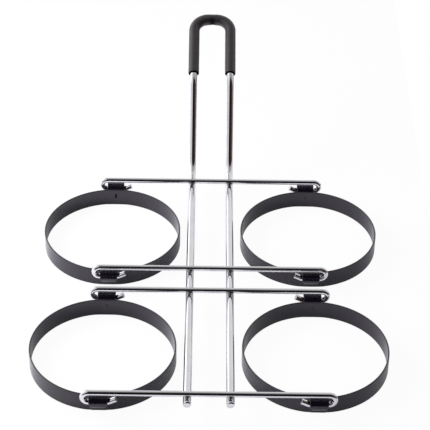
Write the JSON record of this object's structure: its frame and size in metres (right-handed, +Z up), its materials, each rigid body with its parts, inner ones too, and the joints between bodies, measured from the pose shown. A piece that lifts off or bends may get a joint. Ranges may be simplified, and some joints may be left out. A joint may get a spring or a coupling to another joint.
{
  "type": "egg ring",
  "caption": "Multiple egg ring: coated steel hoops hung on the hooked cross wires of a chromed wire carrier, whose rods rise to a looped handle with a soft black grip sleeve.",
  "frame": {"origin": "middle of the footprint of the whole object, on the plane that the hoops stand on", "axes": "+X to the right as seen from the free ends of the rods, +Y along the rods towards the handle, +Z up"},
  "size_m": [0.22, 0.3298, 0.0874],
  "materials": {
    "chromed_wire": "bright chrome plate on drawn steel wire",
    "grip_vinyl": "satin black vinyl sleeve",
    "coated_steel": "satin black non-stick coating on steel strip"
  },
  "bodies": {
    "carrier": {"carrier_rod": "chromed_wire", "grip_sleeve": "grip_vinyl", "rear_outer_cross_wire": "chromed_wire", "rear_inner_cross_wire": "chromed_wire", "front_inner_cross_wire": "chromed_wire", "front_outer_cross_wire": "chromed_wire"},
    "rear_left_hoop": {"rear_left_hoop_band": "coated_steel", "rear_left_rear_tab": "coated_steel", "rear_left_front_tab": "coated_steel"},
    "rear_right_hoop": {"rear_right_hoop_band": "coated_steel", "rear_right_rear_tab": "coated_steel", "rear_right_front_tab": "coated_steel"},
    "front_left_hoop": {"front_left_hoop_band": "coated_steel", "front_left_rear_tab": "coated_steel", "front_left_front_tab": "coated_steel"},
    "front_right_hoop": {"front_right_hoop_band": "coated_steel", "front_right_rear_tab": "coated_steel", "front_right_front_tab": "coated_steel"}
  },
  "joints": [
    {"name": "rear_left_rock", "type": "hinge", "parent": "carrier", "child": "rear_left_hoop", "pos_m": [-0.065, 0.0076, 0.0102], "axis": [0, 1, 0], "range_deg": [-8, 8]},
    {"name": "rear_right_rock", "type": "hinge", "parent": "carrier", "child": "rear_right_hoop", "pos_m": [0.065, 0.0076, 0.0102], "axis": [0, 1, 0], "range_deg": [-8, 8]},
    {"name": "front_left_rock", "type": "hinge", "parent": "carrier", "child": "front_left_hoop", "pos_m": [-0.065, -0.11131, 0.0102], "axis": [0, 1, 0], "range_deg": [-8, 8]},
    {"name": "front_right_rock", "type": "hinge", "parent": "carrier", "child": "front_right_hoop", "pos_m": [0.065, -0.11131, 0.0102], "axis": [0, 1, 0], "range_deg": [-8, 8]}
  ]
}
